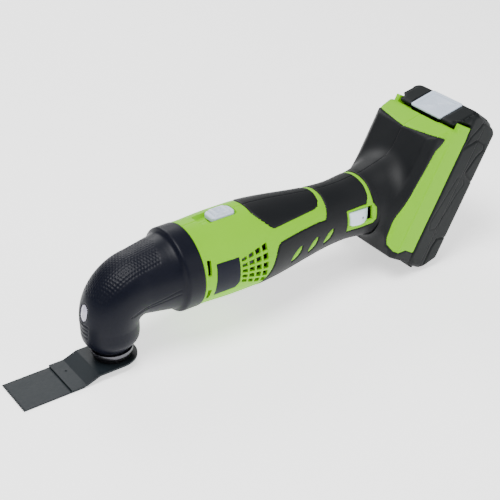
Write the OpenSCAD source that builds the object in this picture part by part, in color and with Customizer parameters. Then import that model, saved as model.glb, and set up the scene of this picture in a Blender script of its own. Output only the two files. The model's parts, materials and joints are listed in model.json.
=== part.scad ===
// Cordless oscillating multi-tool with a plunge-cut blade and a slide-on battery pack.
// Millimetres. The spindle is the Z axis, the blade's underside is z = 0, the handle runs along +X.

/* [Show] */

// One node by name, or "all"

/* [Blade] */

// Width of the saw strip
blade_w = 34; // [20:1:65]
// Distance from the spindle axis to the cutting edge
blade_reach = 75.4; // [50:0.2:100]
// Number of saw teeth
teeth = 17; // [8:1:30]
// Height of the step between strip and mounting plate
blade_step = 5.1; // [3:0.1:15]

/* [Body] */

// Height of the motor axis above the blade's underside
axis_z = 57; // [45:0.5:80]
// Radius at the motor
motor_bulge_r = 31.2; // [28:0.1:36]
// Radius at the slimmest place of the grip
grip_r = 22.7; // [20:0.1:28]
// Where the green housing starts
housing_x = 59.5; // [50:0.5:70]
// Where the flare starts
flare_x = 210; // [190:1:230]

/* [Head] */

// Radius of the head's neck round the spindle
neck_r = 20.3; // [16:0.1:24]
// Radius of the collar that meets the housing
collar_r = 30.5; // [28:0.1:34]

/* [Battery] */

// Tilt of the battery from upright
tilt = 29; // [0:1:45]
// Width of the battery and its base
pack_w = 72; // [60:1:90]
// Thickness of the battery behind the base
pack_t = 29.5; // [25:0.5:60]
// Number of round cells
cells_n = 5; // [3:1:10]

/* [Motion] */

// Throw of the eccentric pin
throw = 0.8; // [0.4:0.1:1.5]
// Angle the blade swings each way, in degrees
swing = 1.6; // [1:0.1:3]
// Travel of the slide switch
switch_travel = 8; // [4:0.5:12]

/* [Hidden] */

$fn = 64;
eps = 0.01;
gap = 0.3;
skin = 1.5;          // overmould thickness
wall = 2.5;          // hard shell under the overmould
strip_t = 1;
plate_t = 1.4;
plate_z = strip_t + blade_step - plate_t;
rear_r = 17.4;       // rounded rear end of the blade carrier
switch_x = 90.5;     // middle of the slide switch
switch_len = 20;
base_x = 261;        // where the motor axis meets the battery's mating plane
fork_x = throw / tan(swing);
blade_c = "#2d373e";
steel_c = "#9aa0a6";
green_c = "#a8d058";
black_c = "#34383c";

function smooth(t) = let (c = min(max(t, 0), 1)) c * c * (3 - 2 * c);

// Outside radius of the handle: full at the motor, slim at the grip, widening again at the flare.
function body_r(x) = motor_bulge_r
    - 1.1 * (1 - smooth((x - housing_x) / 30))
    - (motor_bulge_r - grip_r) * smooth((x - 104) / 86)
    + 1.5 * smooth((x - 190) / 22)
    + 6 * smooth((x - flare_x) / 32);

// Puts a child drawn round +Z on the motor axis, its base at x.
module on_axis(x) translate([x, 0, axis_z]) rotate([0, 90, 0]) children();

// Battery frame: local x is away from the handle, local z is up along the battery.
module at_base() translate([base_x, 0, axis_z]) rotate([0, tilt, 0]) children();

module ring(r_out, r_in, h) difference() {
    cylinder(r = r_out, h = h);
    translate([0, 0, -eps]) cylinder(r = r_in, h = h + 2 * eps);
}

module box(x0, x1, y0, y1, z0, z1) translate([x0, y0, z0]) cube([x1 - x0, y1 - y0, z1 - z0]);

// A slab with rounded corners, standing on z0.
module rounded(x0, x1, y0, y1, z0, z1, r) translate([0, 0, z0]) linear_extrude(z1 - z0)
    rounded_2d(x0, x1, y0, y1, r);

module rounded_2d(x0, x1, y0, y1, r) union() {
    translate([x0 + r, y0]) square([x1 - x0 - 2 * r, y1 - y0]);
    translate([x0, y0 + r]) square([x1 - x0, y1 - y0 - 2 * r]);
    for (x = [x0 + r, x1 - r], y = [y0 + r, y1 - r]) translate([x, y]) circle(r);
}

// ---- outer form of the handle ----

module revolved(x0, x1, d, step = 6) on_axis(0) rotate_extrude() polygon(concat(
    [[0, x0]],
    [for (i = [0 : ceil((x1 - x0) / step)]) let (x = min(x0 + i * step, x1)) [body_r(x) - d, x]],
    [[0, x1]]));

base_front = -31;    // front of the battery base in the battery frame
base_top = 47;
base_bottom = -50;

// The base seen from above the battery: flat sides, a bevel, then a rounded front.
module base_plan(d) polygon([
    [0 - d, pack_w / 2 - d], [-15, pack_w / 2 - d], [-27 + d / 2, 33 - d], [base_front + d, 27 - d],
    [base_front + d, d - 27], [-27 + d / 2, d - 33], [-15, d - pack_w / 2], [0 - d, d - pack_w / 2]]);

// The base seen from the side: sloped top band and a rounded lower end.
module base_side(d) union() {
    polygon([[base_front + d, base_bottom + 24], [-12, base_bottom + d], [0 - d, base_bottom + d],
        [0 - d, base_top + 9 - d], [-17.5, base_top + 9 - d], [base_front + d, base_top - 3 - d]]);
}

module base_form(d) at_base() intersection() {
    translate([0, 0, base_bottom - 10]) linear_extrude(base_top - base_bottom + 30) base_plan(d);
    rotate([90, 0, 0]) translate([0, 0, -pack_w]) linear_extrude(2 * pack_w) base_side(d);
}

module envelope(d) union() {
    revolved(housing_x + (d > skin ? -eps : 0), flare_x + 44, d);
    base_form(d);
}

// Everything ahead of the battery's mating plane.
module ahead_of_base() at_base() box(-260, 0, -60, 60, -200, 90);

// ---- overmoulded grip ----

// Side view outlines of the black grip zones, measured from the motor axis.
module grip_side_2d() union() {
    polygon([[109.5, 34], [109.5, 28.5], [119.5, 19], [142, 18.2], [161, 17.8], [165.5, 15.5],
        [169.5, 34]]);
    difference() {
        polygon([[173, 34], [171, 15], [167, 9], [121.5, 10.5], [117, -3.5], [113, -22], [111, -36],
            [205.5, -36], [210, -12], [214, -9.5], [214, 9.5], [212, 34]]);
        for (x = [124, 137, 153]) slash_2d(x);
        translate([183.5, -11.5]) square([33, 22]);
        ring_line_2d();
    }
    flare_side_2d();
}

module slash_2d(x) translate([x + 11, -6]) rotate(-42)
    intersection_for (s = [-1, 1]) translate([s * 9, 0]) circle(11.2);

module ring_line_2d() polygon([[209.5, 40], [208, 9], [211, 9], [212.5, 40]]);

module flare_side_2d() polygon([[213.5, 40], [212.5, 9], [216, -11], [206, -40], [226, -52], [262, -52],
    [300, 90], [220, 90]]);

module black_zone() translate([0, 80, axis_z]) rotate([90, 0, 0]) linear_extrude(160) grip_side_2d();

// Green frame round the battery's mating plane, kept out of the overmould.
module frame_zone() union() {
    for (s = [-1, 1]) at_base() lip_slab(s);
    at_base() rotate([90, 0, 0]) translate([0, 0, -60]) linear_extrude(120)
        polygon([[base_front - 5, base_top - 3.5], [-20, base_top - 4], [20, base_top - 4], [20, 90],
            [base_front - 5, 90]]);
    at_base() box(-13, 20, -60, 60, -100, 90);
}

module lip_slab(s) scale([1, s, 1]) translate([0, 0, -45]) linear_extrude(120)
    polygon([[20, 26], [-24, 32.4], [-34, 40], [20, 40]]);

module grip_layer() difference() {
    intersection() {
        difference() {
            envelope(0);
            envelope(skin);
        }
        black_zone();
    }
    frame_zone();
}

module half(s) translate([-100, s > 0 ? 0 : -100, -60]) cube([500, 100, 260]);

module grip_half(s) color(black_c) difference() {
    intersection() {
        grip_layer();
        half(s);
    }
    if (s < 0) dial_window();
    screw_ways();
}

// ---- hard housing ----

module housing_cavity() {
    difference() {
        union() {
            revolved(housing_x - 10, flare_x + 30, skin + wall);
            at_base() intersection() {
                box(base_front + 5, -13, -29, 29, base_bottom + 5, base_top - 5);
                rotate([90, 0, 0]) translate([0, 0, -40]) linear_extrude(80) base_side(skin + wall);
            }
        }
        for (x = [71, 108]) on_axis(x) ring(40, 21.3, 3);
    }
}

// The way the battery's rail block slides in, with a lip over it on each side.
module rail_way() at_base() {
    box(-10.5, 1, -26, 26, -44, 90);
    box(-14, -10, -14.3, 14.3, -30, 20);
}

module rail_lips() at_base() for (s = [-1, 1]) box(-3.2, 0, s > 0 ? 21.3 : -26.1, s > 0 ? 26.1 : -21.3, -44, 38);

module front_spigot() on_axis(housing_x - 4) ring(27.7, 25.2, 4 + eps);

module posts() at_base() for (s = [-1, 1]) box(-12.5, 0, s > 0 ? 31.5 : -36, s > 0 ? 36 : -31.5, 40, 61);

module vent_lattice() for (i = [0 : 3], j = [-2 : 2])
    translate([91 + 6 * i, 0, axis_z + 7.2 * j - 1 + 0.8 * i]) rotate([0, 20, 0])
        box(-1.9, 1.9, -40, 40, -2.4, 2.4);

module exhaust_slots() for (z = [9, -12])
    translate([62.8, 0, axis_z + z]) rotate([0, 14, 0]) box(-1.3, 1.3, -40, 40, -5, 5);

module switch_window() translate([0, 0, axis_z]) {
    rounded(switch_x - switch_len / 2 - switch_travel - 1, switch_x + switch_len / 2 + 0.6, -7, 7, 20, 29.4, 3);
    rounded(switch_x - switch_len / 2 - switch_travel - 1, switch_x + switch_len / 2 + 0.6, -7, 7, 29, 40, 3);
}

// The way of the switch's link rod through the motor ribs.
module link_way() translate([0, 0, axis_z]) box(100, 135, -4.5, 4.5, 21.4, 25);

// Room under the pressed battery latch.
module latch_dip() at_base() box(-17, -4, -17.3, 17.3, base_top + 7.5, base_top + 20);

module dial_window() translate([0, 0, axis_z]) {
    box(186.5, 210.5, -40, -8, -4.4, 8.8);
    translate([dial_x, dial_y, -3.9]) cylinder(r = dial_r + 0.5, h = 12);
}

module label_pocket() translate([0, 0, axis_z]) rotate([90, 0, 0]) linear_extrude(60)
    label_2d(0.1);

module label_2d(m) polygon([[69 - m, 10.5 + m], [87 + m, 10.5 + m], [87 + m, -9], [84, -13.5 - m], [67 - m, -14.5 - m]]);

module housing_half(s) color(green_c) difference() {
    union() {
        intersection() {
            union() {
                difference() {
                    envelope(0);
                    grip_layer();
                    housing_cavity();
                    rail_way();
                }
                posts();
                rail_lips();
                screw_bosses();
            }
            ahead_of_base();
            half(s);
        }
        intersection() {
            front_spigot();
            half(s);
        }
    }
    vent_lattice();
    exhaust_slots();
    switch_window();
    link_way();
    screw_ways();
    latch_dip();
    if (s < 0) {
        dial_window();
        difference() {
            label_pocket();
            revolved(59, 101, 0.85);
        }
    }
}

// Screws enter from the left side; each sits in a boss that spans both halves.
screw_spots = [[123, -22], [176, 15.8], [176, -15.8], [226, 10]];
screw_seat_y = 11;

module at_screws() for (p = screw_spots) translate([p[0], 0, axis_z + p[1]]) rotate([-90, 0, 0]) children();

module screw_bosses() intersection() {
    revolved(housing_x, flare_x + 44, skin + 0.5);
    at_screws() translate([0, 0, -40]) cylinder(r = 3.6, h = 80);
}

module screw_ways() at_screws() {
    translate([0, 0, -12]) cylinder(r = 1.6, h = 30);
    translate([0, 0, screw_seat_y]) cylinder(r = 2.8, h = 30);
}

module housing_screws() color(steel_c) at_screws() difference() {
    union() {
        translate([0, 0, -10]) cylinder(r = 1.4, h = screw_seat_y + 10.5, $fn = 24);
        translate([0, 0, screw_seat_y + 0.1]) cylinder(r = 2.5, h = 2);
    }
    translate([0, 0, screw_seat_y + 1.1]) cylinder(r = 1.2, h = 2, $fn = 6);
}

module label_plate() color("#23262e") intersection() {
    difference() {
        revolved(60, 100, 0.1);
        revolved(59, 101, 0.8);
    }
    translate([0, 0, axis_z]) rotate([90, 0, 0]) linear_extrude(60) label_2d(-0.1);
}

// ---- head cover ----

bend_start_r = 23.15;
bend_clear = 1;      // the elbow's inner corner stays this far off the sections
elbow_x = neck_r + bend_clear;
elbow_z = axis_z - bend_start_r - bend_clear;
around = 32;

function elbow_section(t, d) = let (r = bend_start_r + (neck_r - bend_start_r) * t / 90, c = r + bend_clear)
    [elbow_x - c * sin(t), elbow_z + c * cos(t), t, r - d];

// Cross-sections from the housing to the spindle: [centre x, centre z, turn in degrees, radius].
function head_sections(d) = concat(
    [for (p = [[42, 26.8], [39.5, 26.2], [30.5, 24.7]]) [p[0], axis_z, 0, p[1] - d]],
    [for (t = [0 : 15 : 90]) elbow_section(t, d)],
    [for (p = [[26, 0], [22, 0.7], [19, 2.5], [17, 4.4], [15, 6.3]])
        [0, p[0] - (d > 0 ? 0.2 : 0), 90, neck_r - p[1] - d]]);

module head_form(d) {
    s = head_sections(d);
    n = len(s);
    points = [for (q = s) for (i = [0 : around - 1]) let (a = 360 * i / around)
        [q[0] - q[3] * cos(a) * sin(q[2]), q[3] * sin(a), q[1] + q[3] * cos(a) * cos(q[2])]];
    sides = [for (k = [0 : n - 2], i = [0 : around - 1], half = [0, 1])
        let (j = (i + 1) % around, p = k * around, q = p + around)
        half == 0 ? [p + j, p + i, q + i] : [p + j, q + i, q + j]];
    ends = [for (i = [1 : around - 2], end = [0, 1]) let (p = (n - 1) * around)
        end == 0 ? [0, i, i + 1] : [p, p + i + 1, p + i]];
    polyhedron(points, concat(sides, ends));
}

module head_cover() color("#21242f") difference() {
    union() {
        head_form(0);
        on_axis(41.9) cylinder(r1 = 26.9, r2 = 29.6, h = 3.6);
        on_axis(45.5) cylinder(r = collar_r, h = housing_x - 45.5 - 0.1);
    }
    head_form(2.4);
    on_axis(41.5) cylinder(r1 = 24.3, r2 = 28, h = 4.5);
    on_axis(46 - eps) cylinder(r = 28, h = 20);
    translate([-30, -4.8, 32.5]) rounded_window();
}

module rounded_window() rotate([90, 0, 90]) linear_extrude(20) rounded_2d(0, 9.6, 8, 20, 4);

module light_lens() color("#b9bec9") intersection() {
    translate([-30, -4.6, 32.5]) rotate([90, 0, 90]) linear_extrude(20) rounded_2d(0, 9.2, 8.2, 19.8, 3.8);
    difference() {
        head_form(0.25);
        head_form(1.4);
    }
}

// The work light's board leans with the front of the head.
module light_board() color("#2f6b3a") translate([-16.3, 0, 47]) rotate([0, 17.4, 0]) union() {
    box(0.4, 1.1, -3.5, 3.5, -4, 4);
    box(-0.5, 0.5, -1.3, 1.3, -1.3, 1.3);
}

// ---- gear case and bearings ----

nose_z = 17;
case_r = 15;
case_bend_z = 46;    // where the gear case starts to narrow towards its top
top_bearing_z = 54;
case_top_z = 60.5;
web_x = 40;          // web that carries the front motor bearing

module gear_case() color("#8b9096") difference() {
    union() {
        translate([0, 0, nose_z]) cylinder(r = 12.6, h = 6);
        translate([0, 0, nose_z + 6]) cylinder(r = case_r, h = case_bend_z - nose_z - 6);
        translate([0, 0, case_bend_z]) cylinder(r1 = case_r, r2 = 9, h = case_top_z - case_bend_z);
        on_axis(7) cylinder(r1 = 15.4, r2 = 21.5, h = 35);
        on_axis(42) cylinder(r1 = 21.5, r2 = 24.5, h = 5);
        on_axis(47) cylinder(r = 27.6, h = 5);
    }
    translate([0, 0, nose_z - 1]) cylinder(r = 9.5, h = 6.8);
    translate([0, 0, nose_z + 5]) cylinder(r = 7.5, h = 4);
    translate([0, 0, nose_z + 8.5]) cylinder(r = case_r - 1.6, h = case_bend_z - nose_z - 8.5);
    translate([0, 0, case_bend_z - eps])
        cylinder(r1 = case_r - 1.6, r2 = 11, h = top_bearing_z - 0.5 - case_bend_z);
    translate([0, 0, top_bearing_z - 1]) cylinder(r = 8, h = 6);
    translate([0, 0, top_bearing_z + 4.9]) cylinder(r = 4.4, h = 0.9);
    on_axis(9.2) cylinder(r1 = 14.6, r2 = 19.2, h = web_x - 9.2);
    on_axis(web_x - 1) cylinder(r = 7.5, h = 3);
    on_axis(web_x + 1.5) cylinder(r = 11, h = 20);
    gear_case_bolt_holes();
}

module at_gear_case_bolts() for (a = [45 : 90 : 315]) on_axis(0)
    rotate([0, 0, a]) translate([23.6, 0, 0]) children();

module gear_case_bolt_holes() at_gear_case_bolts() translate([0, 0, 45]) cylinder(r = 1.9, h = 9);

module gear_case_screws() color(steel_c) at_gear_case_bolts() {
    translate([0, 0, 45.5]) cylinder(r = 1.6, h = 7, $fn = 24);
    translate([0, 0, 52.1]) cylinder(r = 2.6, h = 2.4, $fn = 24);
}

// A ball bearing with its base on the XY plane.
module bearing(r_out, r_in, h) color(steel_c) union() {
    ring(r_out, r_out - 1.6, h);
    ring(r_in + 1.5, r_in, h);
    translate([0, 0, h * 0.12]) ring(r_out - 1.5, r_in + 1.4, h * 0.76);
}

module lower_bearing() translate([0, 0, nose_z - 0.9]) bearing(9.5, 5.05, 6.6);

module upper_bearing() translate([0, 0, top_bearing_z]) bearing(8, 4.05, 5);

module bearing_retainer() color(steel_c) translate([0, 0, nose_z - 1.7]) ring(9.4, 6.4, 0.8);

module front_bearing() on_axis(web_x + 1.6) bearing(11, 4, 7);

module rear_bearing() on_axis(117.2) bearing(8, 3, 5);

// ---- motor ----

can_x = 67;
can_end = 105;

module motor_can() color("#6f757b") on_axis(can_x) difference() {
    cylinder(r = 21, h = can_end - can_x);
    translate([0, 0, 2]) cylinder(r = 19.4, h = can_end - can_x);
    translate([0, 0, -1]) cylinder(r = 9, h = 5);
    for (a = [0 : 60 : 300]) rotate([0, 0, a]) translate([14, 0, -1]) cylinder(r = 2.6, h = 5, $fn = 24);
}

module motor_magnets() color("#3b3d40") on_axis(can_x + 4) difference() {
    ring(19.35, 17.3, 32);
    for (s = [0, 180]) rotate([0, 0, s]) translate([0, -3, -1]) cube([30, 6, 40]);
}

module end_bell() color("#1f2226") on_axis(can_end + 0.1) difference() {
    union() {
        cylinder(r = 21, h = 14);
        translate([0, 0, 14]) cylinder(r = 10, h = 5);
    }
    translate([0, 0, -1]) cylinder(r = 19, h = 13);
    translate([0, 0, 12]) cylinder(r = 8, h = 5.1);
    translate([0, 0, 11]) cylinder(r = 5, h = 20);
}

module brush_holders() color("#b39a4a") for (s = [-1, 1]) translate([0, 0, axis_z])
    difference() {
        box(107, 116, s > 0 ? 10.5 : -18.4, s > 0 ? 18.4 : -10.5, -3.6, 3.6);
        box(108, 115, s > 0 ? 9 : -17.5, s > 0 ? 17.5 : -9, -2.6, 2.6);
    }

module brushes() color("#4b4b4d") for (s = [-1, 1]) translate([0, 0, axis_z])
    box(108.1, 114.9, s > 0 ? 9.3 : -14.5, s > 0 ? 14.5 : -9.3, -2.5, 2.5);

module brush_springs() color(steel_c) for (s = [-1, 1], k = [0 : 2])
    translate([111.5, s * (14.8 + k) + 0.3, axis_z]) rotate([90, 0, 0]) ring(2.2, 1.6, 0.6);

// ---- armature ----

module motor_shaft() color(steel_c) {
    on_axis(34) cylinder(r = 3.95, h = 81);
    on_axis(115) cylinder(r = 2.95, h = 9);
}

module armature_stack() color("#77797c") on_axis(73) difference() {
    cylinder(r = 16.6, h = 25);
    translate([0, 0, -1]) cylinder(r = 3.95, h = 30);
    for (a = [0 : 30 : 330]) rotate([0, 0, a]) {
        translate([9, -1.5, -1]) cube([5.6, 3, 30]);
        translate([14, -0.6, -1]) cube([4, 1.2, 30]);
    }
}

module windings() color("#a8552b") union() {
    on_axis(70) ring(13.5, 5, 2.9);
    on_axis(98.1) ring(13.5, 5, 5);
    for (a = [0 : 30 : 330]) on_axis(72.8) rotate([0, 0, a]) translate([9.2, -1.2, 0]) cube([3.8, 2.4, 25.4]);
}

module commutator() color("#b87a3d") on_axis(103.5) difference() {
    union() {
        cylinder(r = 9, h = 12);
        cylinder(r = 10.2, h = 2);
    }
    translate([0, 0, -1]) cylinder(r = 3.95, h = 20);
    for (a = [15 : 30 : 345]) rotate([0, 0, a]) translate([8.2, -0.25, -1]) cube([4, 0.5, 20]);
}

module fan() color("#2b2e33") on_axis(56.4) union() {
    ring(6, 3.95, 8);
    ring(22.8, 5.9, 1.4);
    for (a = [0 : 30 : 330]) rotate([0, 0, a]) translate([8, -0.6, 1.3]) cube([14, 1.2, 6]);
}

// The eccentric: a sleeve on the shaft's front end with its pin off centre.
module eccentric() color("#7c8187") {
    on_axis(33.6) ring(6.5, 3.95, 7);
    on_axis(33) cylinder(r = 6.5, h = 0.9);
    translate([0, 0, throw]) on_axis(24.5) cylinder(r = 4, h = 8.6);
}

module eccentric_bearing() translate([0, 0, throw]) on_axis(25.6) bearing(8, 4, 5.6);

// ---- spindle and blade ----

fork_half_gap = 8 + throw + fork_x * sin(swing) + gap;
flange_z = plate_z + plate_t;

module spindle() color(steel_c) difference() {
    union() {
        translate([0, 0, flange_z + 4]) cylinder(r = 5, h = top_bearing_z - 0.9 - flange_z - 4);
        translate([0, 0, top_bearing_z - 1]) cylinder(r = 4, h = 6.4);
    }
    translate([0, 0, flange_z + 3]) cylinder(r = 2.5, h = 20);
}

fork_arm = 2.4;
fork_bottom_z = 50.6;

module fork() color("#6d7278") difference() {
    union() {
        translate([0, 0, 43]) cylinder(r = 10.4, h = 9.5);
        for (s = [-1, 1]) box(9.6, 34, s > 0 ? fork_half_gap : -fork_half_gap - fork_arm,
            s > 0 ? fork_half_gap + fork_arm : -fork_half_gap, fork_bottom_z, 62);
        box(9.6, 14, -fork_half_gap - 1, fork_half_gap + 1, fork_bottom_z, 52.5);
        box(6, 10, -5.5, 5.5, fork_bottom_z, 52.5);
    }
    translate([0, 0, 42]) cylinder(r = 5, h = 12);
}

// Mounting flange: a bright collar, a smaller seat below it and eight drive pins.
module spindle_flange() color("#b9bdc2") difference() {
    union() {
        translate([0, 0, flange_z + 4.4]) cylinder(r = 14.7, h = 2.6);
        translate([0, 0, flange_z]) cylinder(r = 13.2, h = 4.5);
        for (a = [0 : 45 : 315]) rotate([0, 0, a]) translate([9.5, 0, plate_z + 0.1])
            cylinder(r = 1.2, h = 2, $fn = 24);
    }
    translate([0, 0, -1]) cylinder(r = 2.6, h = 12);
    translate([0, 0, flange_z + 4]) cylinder(r = 5, h = 10);
}

weld_spot = [-33.7, 4.4];  // dimple of the weld between tongue and strip

// Sheet carrier: round rear end on the flange, two bends, then the tongue the strip is welded to.
module blade_carrier() color(blade_c) difference() {
    union() {
        translate([0, 0, plate_z]) linear_extrude(plate_t) union() {
            circle(rear_r);
            translate([-18.6, -rear_r]) square([18.6, 2 * rear_r]);
        }
        rotate([90, 0, 0]) translate([0, 0, -rear_r]) linear_extrude(2 * rear_r) polygon([
            [-18.5, plate_z], [-28.8, strip_t], [-40.3, strip_t], [-40.3, strip_t + plate_t],
            [-29.4, strip_t + plate_t], [-19.1, plate_z + plate_t], [-18.5, plate_z + plate_t]]);
    }
    translate([0, 0, -1]) cylinder(r = 3.2, h = 12);
    for (a = [0 : 45 : 315]) rotate([0, 0, a]) translate([9.5, 0, -1]) cylinder(r = 1.3, h = 12, $fn = 24);
    translate([weld_spot[0], weld_spot[1], strip_t + plate_t - 0.5]) cylinder(r = 0.8, h = 2, $fn = 24);
}

module saw_blade() color("#39444b") linear_extrude(strip_t) difference() {
    translate([-blade_reach, -blade_w / 2]) square([blade_reach - 30, blade_w]);
    for (i = [0 : teeth - 1]) translate([-blade_reach, blade_w * ((i + 0.5) / teeth - 0.5)])
        polygon([[-0.01, -0.8], [1.6, -0.25], [-0.01, 0.8]]);
}

module clamp_washer() color(steel_c) translate([0, 0, plate_z - 1.1]) ring(7.6, 3.1, 1.1);

module clamp_screw() color("#55595e") difference() {
    union() {
        translate([0, 0, plate_z - 1.2]) cylinder(r = 2.45, h = 18);
        translate([0, 0, 0.4]) cylinder(r1 = 4.6, r2 = 5.4, h = plate_z - 1.1 - 0.4);
    }
    translate([0, 0, 0.3]) cylinder(r = 2.3, h = 2.2, $fn = 6);
}

// ---- switch, speed control and wiring ----

module switch_button() color("#bcc4d2") translate([0, 0, axis_z]) difference() {
    union() {
        rounded(switch_x - switch_len / 2, switch_x + switch_len / 2, -6.3, 6.3, 28.4, 32.6, 4);
        box(switch_x - 3, switch_x + 3, -3, 3, 25.5, 28.5);
    }
    for (i = [-1 : 1]) translate([switch_x + 5 * i, 10, 34.2]) rotate([90, 0, 0]) cylinder(r = 2.4, h = 20);
}

// Flat rod under the shell, a cheek on each side of the button's stem, a tail down to the switch.
module switch_link() color("#d8d8d2") translate([0, 0, axis_z]) union() {
    box(switch_x - 6, 131, -3.6, 3.6, 22.6, 24);
    for (s = [-1, 1]) box(switch_x - 6, switch_x + 6, s > 0 ? 3.1 : -3.6, s > 0 ? 3.6 : -3.1, 23.9, 27);
    box(129.5, 131, -3.6, 3.6, 12, 23);
}

module power_switch() color("#25282c") translate([0, 0, axis_z]) union() {
    box(133, 152, -8, 8, -6, 11);
    for (i = [-1, 1]) box(151.9, 157, i * 4 - 1.5, i * 4 + 1.5, 2, 3);
    box(137, 141, -2, 2, 10.9, 11.8);
}

dial_x = 197.5;
dial_r = 14;
dial_y = -10.2;

module dial_wheel() color("#cdd6e0") translate([dial_x, dial_y, axis_z - 3.4]) difference() {
    cylinder(r = dial_r, h = 11);
    translate([0, 0, -1]) cylinder(r = 1.56, h = 20, $fn = 48);
    translate([0, 0, 2]) cylinder(r = 9, h = 12);
    for (a = [0 : 12 : 348]) rotate([0, 0, a]) translate([dial_r + 0.25, 0, -1])
        cylinder(r = 0.6, h = 14, $fn = 12);
}

module speed_board() color("#2f6b3a") translate([0, 0, axis_z]) union() {
    box(162, 216, 5, 6.6, -11.8, 11.8);
    box(dial_x - 5, dial_x + 5, dial_y - 5, dial_y + 5, -10, -4);
    box(dial_x - 5, dial_x + 5, dial_y + 4.9, 5.1, -10, -4);
    translate([dial_x, dial_y, -4.1]) cylinder(r = 1.5, h = 9, $fn = 48);
    box(167, 177, -2, 5.1, -6, 6);
    translate([184, 5.1, -8]) rotate([90, 0, 0]) cylinder(r = 2.5, h = 7);
}

module wire(points, r) for (i = [0 : len(points) - 2]) let (a = points[i], b = points[i + 1], v = b - a)
    translate(a) rotate([0, acos(v[2] / norm(v)), atan2(v[1], v[0])]) {
        cylinder(r = r, h = norm(v), $fn = 24);
        if (i > 0) sphere(r = 1.2 * r, $fn = 24);
    }

module motor_wires() for (s = [-1, 1]) color(s > 0 ? "#b3201f" : "#1c1c1e")
    translate([0, 0, axis_z]) wire([[119.8, s * 14, -4], [130, s * 14, -9], [160, s * 10, -9]], 1.1);

module battery_wires() for (s = [-1, 1]) color(s > 0 ? "#b3201f" : "#1c1c1e")
    translate([0, 0, axis_z]) wire([[212, s * 3 + 12, -8], [224, s * 4 + 10, -8], [236.2, s * 6, -5.2]], 1.2);

blade_y = [-9, -3, 3, 9];

module terminal_block() color("#2b2e33") at_base() difference() {
    box(-18, -10.6, -14, 14, -18, 12);
    box(-15.5, -10, -11, 11, -12, 6);
}

module terminal_blades() color("#c8a24a") at_base() for (y = blade_y)
    box(-15.48, -3, y - 0.4, y + 0.4, -11, 4);

// ---- battery ----

seam_n = 14;         // where the case halves meet, in the battery frame
case_wall = 2.4;

// Side view of the battery in its own frame: rounded foot, sloped hood over the base.
module pack_side(d) union() {
    polygon([[0.3 + d, -46], [0.3 + d, 56.5 + d], [-17.3 + d, 56.5 + d], [3.4, 74.2 - d * 1.2],
        [20.5, 71.4 - d], [pack_t - d, 62], [pack_t - d, -41.8], [pack_t - 12, -53.8 + d],
        [7.5, -53.8 + d], [7.5 - 7.2 + d, -46.5]]);
    translate([pack_t - 12, -41.8]) circle(12 - d);
    translate([pack_t - 9, 62]) circle(9 - d);
}

module pack_body(d) intersection() {
    rotate([90, 0, 0]) translate([0, 0, -pack_w / 2 + d]) linear_extrude(pack_w - 2 * d) pack_side(d);
    union() {
        rotate([0, 90, 0]) linear_extrude(60) rounded_2d(-80, 53.8 - d, -pack_w / 2 + d, pack_w / 2 - d, 9);
        translate([-40, -31 + d, 50]) cube([60, 62 - 2 * d, 40]);
    }
}

module rail_block() {
    box(-9.8, 0.4, -20.8, 20.8, -40, 40);
    for (s = [-1, 1]) box(-9.8, -3.6, s > 0 ? 20.7 : -25.5, s > 0 ? 25.5 : -20.7, -40, 40);
}

module latch_pocket() translate(latch_mid) rotate([0, latch_turn, 0])
    box(-12.3, 12.3, -16.9, 16.9, -4.2, 6);

latch_mid = [-5.6, 0, 66.2];
latch_turn = -41.6;

module battery_case(front) difference() {
    union() {
        difference() {
            pack_body(0);
            pack_body(case_wall);
        }
        rail_block();
        at_pack_screws() translate([0, 0, 2.5]) cylinder(r = 2.5, h = 6);
        intersection() {
            pack_body(0.1);
            translate(latch_mid) rotate([0, latch_turn, 0]) box(-14.5, 14.5, -18.6, 18.6, -7.4, 0);
        }
    }
    latch_pocket();
    translate(latch_mid) rotate([0, latch_turn, 0]) translate([0, 0, -6]) cylinder(r = 3.3, h = 3);
    box(-9, 3, -12, 12, -30, 10);
    box(-7.6, 2.8, -18, 18, -37, 37);
    for (y = blade_y) box(-11, -1, y - 0.8, y + 0.8, -41, 6);
    at_pack_screws() translate([0, 0, -1]) cylinder(r = 1.4, h = 30, $fn = 24);
    if (front) box(seam_n, 60, -60, 60, -90, 90);
    else box(-60, seam_n, -60, 60, -90, 90);
}

module battery_case_front() color("#3f4446") at_base() battery_case(true);

module battery_case_back() color("#3f4446") at_base() battery_case(false);

cell_r = 9.1;
cell_pitch = 19;

module at_cells() for (i = [0 : cells_n - 1])
    translate([16.6, 0, -39 + cell_pitch * i]) rotate([90, 0, 0]) children();

module cells() color("#3f7fb0") at_base() at_cells() translate([0, 0, -32.4]) union() {
    cylinder(r = cell_r, h = 64);
    cylinder(r = 3.4, h = 64.8);
}

module cell_holder() color("#1d1f22") at_base() for (s = [-1, 1]) difference() {
    box(6.9, 25.8, s * 24 - 3, s * 24 + 3, -45, 47);
    at_cells() translate([0, 0, -40]) cylinder(r = cell_r + 0.02, h = 80);
}

module battery_board() color("#2f6b3a") at_base() box(3.2, 4.8, -20, 20, -36, 36);

module battery_contacts() color("#c8a24a") at_base() for (y = blade_y, s = [-1, 1])
    box(-6.9, 3.2, y + s * 0.9 - 0.2, y + s * 0.9 + 0.2, -8, 3);

// Screws between two cells, through the front of the case.
module at_pack_screws() for (y = [-30, 30], z = [-29.5, 46.5]) translate([0, y, z]) rotate([0, 90, 0]) children();

module battery_screws() color(steel_c) at_base() at_pack_screws()
    translate([0, 0, 0.5]) cylinder(r = 1.3, h = 10.5, $fn = 24);

module latch_button() color("#bcc4d2") at_base() translate(latch_mid) rotate([0, latch_turn, 0]) difference() {
    box(-12, 12, -16.6, 16.6, -1.6, 0.6);
    box(-9.8, 9.8, -14, 14, 0.2, 1);
}

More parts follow.
